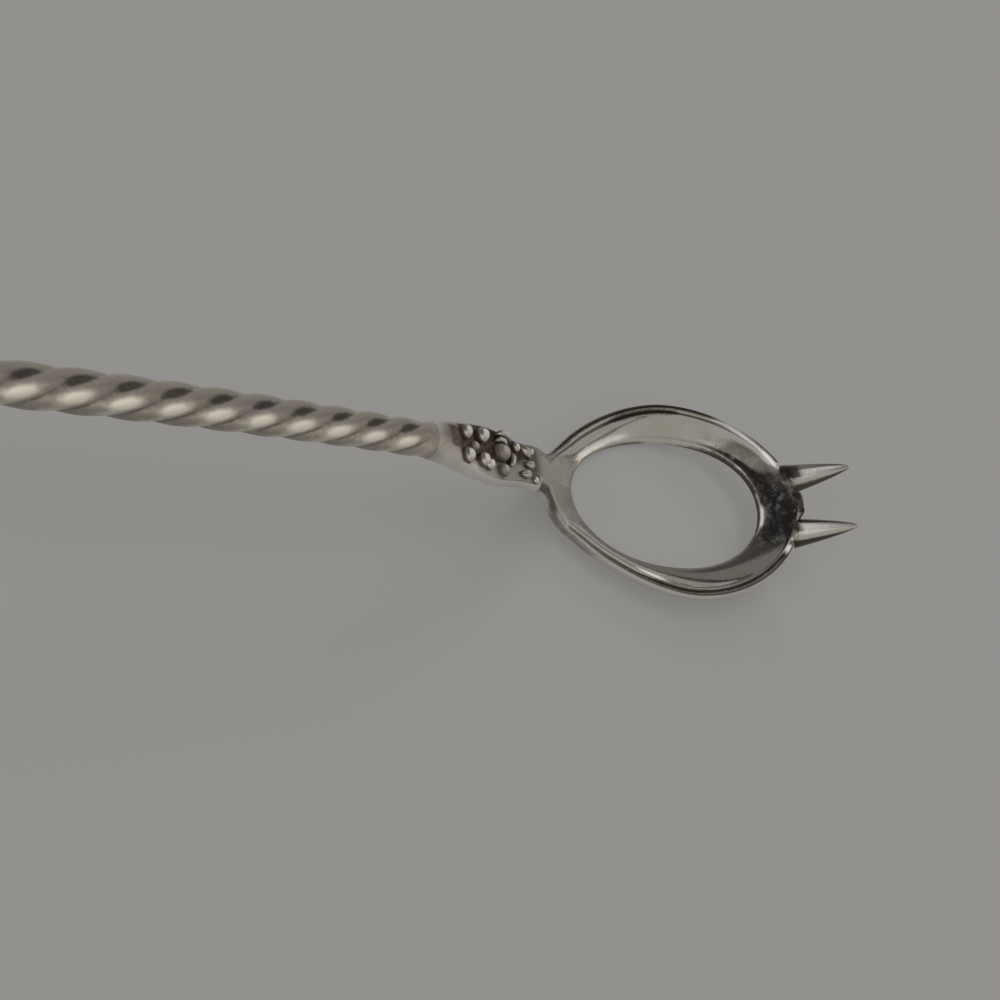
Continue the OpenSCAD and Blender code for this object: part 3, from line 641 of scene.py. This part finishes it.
def spineSlope(t):
    d = spine(np.asarray(t) + 0.005) - spine(np.asarray(t) - 0.005)
    return -np.arctan2(d[..., 1], d[..., 0]) / deg


def shoulderHalf(t):
    k = shoulderSize
    return mix(stemSize["d"] / 2, k["w"] / 2, smooth((t + 0.08) / 0.6)) \
        - (k["w"] - bowlSize["neckW"]) / 2 * smooth((t - 0.55) / 0.3)


fieldSlope = float(spineSlope(shoulderSize["fieldT"]))
fieldX = np.array([np.cos(fieldSlope * deg), 0, -np.sin(fieldSlope * deg)])
fieldZ = np.array([np.sin(fieldSlope * deg), 0, np.cos(fieldSlope * deg)])
fieldMid = spine(shoulderSize["fieldT"])
fieldMid = np.array([fieldMid[0], 0, fieldMid[1]]) \
    + (shoulderSize["t"] / 2 - shoulderSize["fieldDepth"]) * fieldZ


def onField(p):  # field's own x, y, height to the bowl's frame
    return fieldMid + p[..., :1] * fieldX + p[..., 1:2] * np.array([0, 1, 0]) + p[..., 2:] * fieldZ


def shoulderMarks(t, fx, y, above, press):
    # brown along the middle and the far side, oxide on the field's floor, painted highlight on the near border and
    # rear end
    k = shoulderSize
    stainAndShade = 0.25 + 0.4 * (1 - smooth((np.abs(y) - 0.3) / 1.2)) * above + 0.3 * (y > 0) * above
    early = smooth((fx - k["fieldBack"] + 0.6) / 2.4) * smooth((k["fieldFront"] + 0.6 - fx) / 4.0)
    worn = 1 - smooth((y + 1.6 - 0.2 * np.clip(fx, -2, 5)) / 1.4)  # near part of the field is rubbed clean, with a painted highlight
    gate = smooth(fx - k["fieldBack"] + 1.3) * smooth(k["fieldBack"] + 1.5 - fx) * above  # dark start of the field
    plainEnd, first = 1 - smooth((t - 0.3) / 0.3), 1 - smooth(t / 0.12)
    return {"recessAndShade": np.maximum(np.minimum(press * 1.4, early) * (1 - 0.9 * worn),
                                 0.7 * gate * smooth((1.5 - np.abs(y - 0.3)) / 0.8)),
            "stainAndShade": mix(stainAndShade * plainEnd, 0.55, first),
            "satinHighlight": 0.35 * plainEnd + 0.25 * first + 0.3 * worn * press}


def shoulderSurface():
    # loft from the round stem to the flat neck; inside the field's outline the top is pressed down to a floor
    k = shoulderSize
    t = np.linspace(0, 1, k["rings"])[:, None]
    grow = smooth(t / 0.45)
    high = mix(stemSize["d"] / 2, mix(k["t"], bowlSize["neckT"], t) / 2, grow)
    y, z = roundSection(shoulderHalf(t), high, mix(2, 4, grow), fullTurn(k["points"]))
    p = inPlane(np.broadcast_to(spine(t), y.shape + (2,)), spineSlope(t), y, z)
    local, above = p - fieldMid, z > 0
    fx, fz = local @ fieldX, local @ fieldZ
    share = np.clip((fx - k["fieldBack"]) / (k["fieldFront"] - k["fieldBack"]), 0, 1)
    half = (shoulderHalf(k["fieldT"] + fx / k["len"]) - k["border"]) * np.minimum(1, np.sqrt(14 * share))
    ramp = smooth((fx - k["fieldBack"]) / k["backRamp"]) * smooth((k["fieldFront"] + 0.2 - fx) / k["frontRamp"])
    press = smooth((half - np.abs(y)) / k["wallWidth"] + 0.5) * ramp * above * (fz > 0)
    p = p - (press * fz)[..., None] * fieldZ
    p = p - (k["farDrop"] * smooth((y - half + 0.15) / 0.3) * ramp * above)[..., None] * fieldZ
    return {"points": p, "marks": shoulderMarks(t, fx, y, above, press)}


buildPiece("shoulderBlock", "shoulder", shoulderSilver, [shoulderSurface()])


# ornament on a field: domes, scrolls and leaves

ornamentGrid = {"domeAround": 56, "domeUp": 22, "along": 48, "scrollAround": 32, "leafAround": 40, "sunk": 0.06}


def relief(p, place, top, dark, darkUpTo, topHighlight, topHighlightFrom):
    # dark at the foot and a painted highlight on top, by height as a share of the whole
    level = p[..., 2] / top
    return {"points": place(p), "marks": {"recessAndShade": dark * (1 - smooth((level - darkUpTo) / 0.6)),
                                          "satinHighlight": topHighlight * smooth((level - topHighlightFrom) / (1 - topHighlightFrom))}}


def domeSheet(x, y, d, h, place):
    # cap of a sphere, d wide and h high, with its edge sunk a little into the floor
    k = ornamentGrid
    r = (d * d / 4 + h * h) / (2 * h)
    low = np.arccos((r - h) / r)
    fall = np.linspace(1.03, 0.02, k["domeUp"])[:, None] * low
    a = fullTurn(k["domeAround"])
    out = r * np.sin(fall) * (1 + 0.04 * np.sin(2 * a + 3 * x) + 0.03 * np.sin(3 * a + 5 * y))  # a little uneven
    p = np.stack(np.broadcast_arrays(x + out * np.cos(a), y + out * np.sin(a), h - r + r * np.cos(fall)), -1)
    return relief(p, place, h, 0.95, 0.25, 1.0, 0.7)


def scrollSheet(x, y, r, tube, lift, start, stop, place):
    # round-backed band along an arc about x, y; it thins towards both ends
    k = ornamentGrid
    s = np.linspace(0, 1, k["along"])[:, None]
    turn = mix(start, stop, s) * deg
    a = fullTurn(k["scrollAround"])
    thin = np.sqrt(np.clip(4.2 * s * (1 - s) + 0.12, 0, 1))
    out = r + tube * np.cos(a) * thin
    z = np.where(np.sin(a) > 0, lift * thin + tube * np.sin(a) * thin, -k["sunk"])
    p = np.stack(np.broadcast_arrays(x + out * np.cos(turn), y + out * np.sin(turn), z), -1)
    return relief(p, place, lift + tube, 0.95, 0.3, 0.6, 0.75)


def leafSheet(x0, y0, x1, y1, w, h, place):
    # pointed leaf: two arcs in plan, arched along, round across with a shallow middle groove
    k = ornamentGrid
    s = np.linspace(0.01, 0.99, k["along"])[:, None]
    a = fullTurn(k["leafAround"])
    arch = 1 - (2 * s - 1) ** 2
    across = np.cos(a) * w / 2 * arch / np.hypot(x1 - x0, y1 - y0)
    rib = 1 - 0.22 * np.exp(-(np.cos(a) / 0.16) ** 2)
    z = np.where(np.sin(a) > 0, h * arch * np.abs(np.sin(a)) ** 0.7 * rib, -k["sunk"])
    p = np.stack(np.broadcast_arrays(x0 + (x1 - x0) * s - across * (y1 - y0),
                                     y0 + (y1 - y0) * s + across * (x1 - x0), z), -1)
    return relief(p, place, h, 0.9, 0.2, 0.5, 0.6)


# domes: x, y, width, height; scrolls: x, y, radius, tube, lift, from, to; leaves: two ends, width, height
shoulderBeads = [(-4.5, 1.1, 1.3, 0.9), (-2.2, 1.25, 1.4, 1.0), (-4.65, -1.15, 1.35, 0.95),
                 (-2.45, -1.1, 1.2, 0.9), (-1.65, -1.4, 1.1, 0.8), (3.05, 1.25, 0.9, 0.65),
                 (5.6, -1.55, 0.75, 0.5), (5.55, 1.35, 0.7, 0.5)]
shoulderBosses = [(-3.35, 0, 1.0, 0.6), (0.65, 0.2, 1.8, 1.0), (0.55, -1.5, 1.3, 0.75)]
shoulderScrolls = [(0.65, 0.2, 1.25, 0.24, 0.4, 42, 128), (0.65, 0.2, 1.8, 0.26, 0.7, 42, 116),
                   (0.65, 0.2, 1.5, 0.3, 0.35, -50, 12)]
shoulderLeaves = [(3.6, 1.75, 5.35, 0.45, 0.95, 0.8), (3.1, -1.3, 5.3, -1.1, 0.85, 0.65),
                  (4.1, -0.15, 6.0, -0.05, 0.8, 0.65)]
buildPiece("shoulderBeads", "shoulder_beads", ornamentSilver,
           [domeSheet(*d, onField) for d in shoulderBeads])
buildPiece("shoulderBosses", "shoulder_bosses", bossSilver,
           [domeSheet(*d, onField) for d in shoulderBosses])
buildPiece("shoulderScrolls", "shoulder_scrolls", ornamentSilver,
           [scrollSheet(*d, onField) for d in shoulderScrolls])
buildPiece("shoulderLeaves", "shoulder_leaves", ornamentSilver,
           [leafSheet(*d, onField) for d in shoulderLeaves])


# terminal with its sunk field

terminalSize = {"len": 30.0, "w": 8.0, "t": 2.3, "grow": 8.0, "tipRound": 3.2, "mid": 18.0, "back": -9.0,
                "front": 9.2, "border": 0.55, "wallWidth": 0.18, "rings": 300, "points": 200}
stemEnd = stemAt(np.array(stemSize["len"]))
endAngle = float(stemAngle(stemSize["len"]))
endWay = np.array([-np.cos(endAngle * deg), np.sin(endAngle * deg)])
paddleX = np.array([endWay[0], 0, endWay[1]])
paddleZ = np.array([np.sin(endAngle * deg), 0, np.cos(endAngle * deg)])
paddleMid = np.array([stemEnd[0], 0, stemEnd[1]]) + terminalSize["mid"] * paddleX \
    + (terminalSize["t"] / 2 - shoulderSize["fieldDepth"]) * paddleZ


def onPaddle(p):
    return paddleMid + p[..., :1] * paddleX - p[..., 1:2] * np.array([0, 1, 0]) + p[..., 2:] * paddleZ


def terminalTip(s):  # 0 along the paddle, 1 at its very end
    k = terminalSize
    return np.clip((s - k["len"] + k["tipRound"]) / k["tipRound"], 0, 1)


def terminalHalf(s):
    k = terminalSize
    half = mix(stemSize["d"] / 2, k["w"] / 2, smooth((s - 0.5) / (k["len"] - k["grow"])))
    return half * np.sqrt(np.maximum(0.02, 1 - terminalTip(s) ** 2))


def terminalSurface():
    # loft from the round stem to a flat paddle with a rounded end; the field is pressed in as on the shoulder
    k = terminalSize
    s = (k["len"] * (1 - (1 - np.linspace(0, 1, k["rings"])) ** 1.5))[:, None]
    grow = smooth(s / k["grow"])
    high = np.sqrt(np.maximum(0.12, 1 - 0.75 * terminalTip(s) ** 2)) * mix(stemSize["d"], k["t"], grow) / 2
    y, z = roundSection(terminalHalf(s), high, mix(2, 3.4, grow), fullTurn(k["points"]))
    centre = np.broadcast_to(stemEnd + s[..., None] * endWay, y.shape + (2,))
    p = inPlane(centre, endAngle, y, z)
    local = p - paddleMid
    fx, fz = local @ paddleX, local @ paddleZ
    share = np.clip((fx - k["back"]) / (k["front"] - k["back"]), 0, 1)
    half = (terminalHalf(k["mid"] + fx) - k["border"]) * np.minimum(1, np.sqrt(8 * share)) \
        * np.minimum(1, np.sqrt(6 * (1 - share)))
    inside = np.minimum(np.minimum(half - np.abs(y), fx - k["back"]), k["front"] - fx)
    press = smooth(inside / k["wallWidth"] + 0.5) * (z > 0) * (fz > 0)
    return {"points": wornFlat(p - (press * fz)[..., None] * paddleZ), "marks": {"recessAndShade": press}}


terminalBeads = [(x, side * y, d, h) for side in (-1, 1)
                 for x, y, d, h in ((-3.6, 1.35, 1.2, 0.7), (-0.6, 2.1, 1.3, 0.75), (3.2, 2.5, 1.3, 0.75))]
terminalBosses = [(-4.9, 0, 0.9, 0.5), (1.6, 0, 2.2, 1.0), (-1.9, 0, 1.1, 0.6)]
terminalLeaves = [(3.6, -0.75, 7.2, -2.2, 1.2, 0.7), (3.6, 0.75, 7.2, 2.2, 1.2, 0.7),
                  (3.4, 0, 8.4, 0, 1.1, 0.8), (-8.4, 0, -5.8, 0, 0.8, 0.5)]
buildPiece("terminalPaddle", "terminal", shoulderSilver, [terminalSurface()])
buildPiece("terminalBeads", "terminal_beads", ornamentSilver,
           [domeSheet(*d, onPaddle) for d in terminalBeads])
buildPiece("terminalBosses", "terminal_bosses", bossSilver,
           [domeSheet(*d, onPaddle) for d in terminalBosses])
buildPiece("terminalLeaves", "terminal_leaves", ornamentSilver,
           [leafSheet(*d, onPaddle) for d in terminalLeaves])


# floor, light and camera

floorHalf = 4.0  # metres
floorLook = {"Base Color": colour(0.12, 0.117, 0.113), "Roughness": 0.9, "Specular IOR Level": 0.1,
             "Emission Color": colour(0.17, 0.166, 0.16),  # lit from below too, which keeps shadows pale
             "Emission Strength": 1.0}
cardCorners = [(-0.11, -0.06, 0.15), (0.015, -0.06, 0.15), (0.015, -0.135, 0.07), (-0.11, -0.135, 0.07)]
cardLook = {"Base Color": colour(0.0, 0.0, 0.0), "Emission Color": colour(0.66, 0.63, 0.56),
            "Emission Strength": 1.0}
# patches: bearing, height, outer and inner radius in degrees, colour; lamps: where from, width in degrees, energy
roomLook = {"plain": colour(0.5, 0.5, 0.5), "near": colour(0.33, 0.315, 0.29), "far": colour(0.15, 0.145, 0.135),
            "nearToFar": (-0.3, 0.4), "cloudScale": 2.2, "cloudDetail": 2.0, "sway": 0.5, "patchSway": 0.12,
            "patches": [(100, 68, 38, 26, colour(0.045, 0.042, 0.04)), (28, 50, 27, 14, colour(0.06, 0.054, 0.05)),
                        (0, 33, 9, 5, colour(0.74, 0.67, 0.57)), (-80, 73, 18, 10, colour(0.46, 0.43, 0.38))],
            "lamps": [((-0.1, 0.42, 0.9), 46.0, 1.0), ((-0.92, -0.04, 0.39), 14.0, 0.55),
                      ((0.42, 0.79, 0.45), 16.0, 1.0)]}
cameraLook = {"place": (-72.21, -29.16, 74.95), "right": (0.8567, -0.1447, 0.4951),
              "down": (0.0324, -0.9428, -0.3317), "ahead": (0.5148, 0.3003, -0.8030),
              "lens": 33.12, "sensor": 36.0, "clip": (0.002, 50.0)}


def paperSheet(name, corners, look):  # flat sheet with a plain finish
    mesh = bpy.data.meshes.new(name)
    mesh.from_pydata(corners, [], [(0, 1, 2, 3)])
    material = bpy.data.materials.new(name + "Paper")
    material.use_nodes = True
    for key, value in look.items():
        material.node_tree.nodes["Principled BSDF"].inputs[key].default_value = value
    mesh.materials.append(material)
    sheet = bpy.data.objects.new(name, mesh)
    bpy.context.scene.collection.objects.link(sheet)
    return sheet


def makeFloor():
    h = floorHalf
    floor = paperSheet("floor", [(-h, -h, 0), (h, -h, 0), (h, h, 0), (-h, h, 0)], floorLook)


def makeRoom():
    # plain even light for matt things; polished metal sees a grey room with soft light and dark patches
    k = roomLook
    world = bpy.data.worlds.new("room")
    bpy.context.scene.world = world
    world.use_nodes = True
    world.node_tree.nodes.clear()
    wire = Wire(world.node_tree)
    way = wire.make("ShaderNodeTexCoord", out=0)
    clouds = wire.make("ShaderNodeTexNoise", {}, {"Vector": way, "Scale": k["cloudScale"],
                                                  "Detail": k["cloudDetail"]})
    sideways = wire.make("ShaderNodeSeparateXYZ", {}, {0: way}, out=1)
    seen = (sideways + (clouds - 0.5) * k["sway"]).step(*k["nearToFar"]).tint(k["near"], k["far"])
    for bearing, height, outer, inner, tone in k["patches"]:
        b, h = bearing * deg, height * deg
        middle = (np.cos(h) * np.cos(b), np.cos(h) * np.sin(b), np.sin(h))
        near = wire.make("ShaderNodeVectorMath", {"operation": "DOT_PRODUCT"}, {0: way, 1: middle}, out=1)
        near = near + (clouds - 0.5) * k["patchSway"]
        seen = near.step(np.cos(outer * deg), np.cos(inner * deg)).tint(seen, tone)
    glossy = wire.make("ShaderNodeLightPath", out=3)
    shader = wire.make("ShaderNodeBackground", {}, {"Color": glossy.tint(k["plain"], seen), "Strength": 1.0})
    wire.make("ShaderNodeOutputWorld", {}, {"Surface": shader})
    for source, width, energy in k["lamps"]:  # soft lights for the floor's shadows, not seen in the metal
        lamp = bpy.data.lights.new("skylight", "SUN")
        lamp.energy, lamp.angle = energy, width * deg
        light = bpy.data.objects.new("skylight", lamp)
        light.rotation_euler = Vector(source).to_track_quat("Z", "Y").to_euler()
        light.visible_glossy = False
        bpy.context.scene.collection.objects.link(light)


def makeCard():  # bright card beside the stem, seen in polished metal only
    card = paperSheet("card", cardCorners, cardLook)
    card.visible_camera = card.visible_diffuse = card.visible_shadow = card.visible_transmission = False


def makeCamera():
    k = cameraLook
    right, down, ahead = layWay(k["right"]), layWay(k["down"]), layWay(k["ahead"])
    place = layDown(np.array(k["place"]))
    m = Matrix.Identity(4)
    for row in range(3):
        m[row][0], m[row][1], m[row][2], m[row][3] = right[row], -down[row], -ahead[row], place[row]
    data = bpy.data.cameras.new("camera")
    data.lens, data.sensor_width, data.sensor_fit = k["lens"], k["sensor"], "HORIZONTAL"
    data.clip_start, data.clip_end = k["clip"]
    camera = bpy.data.objects.new("camera", data)
    camera.matrix_world = m
    bpy.context.scene.collection.objects.link(camera)
    bpy.context.scene.camera = camera


makeFloor()
makeRoom()
makeCard()
makeCamera()
bpy.context.scene.view_settings.view_transform = "Standard"
print("floor, room and camera made")
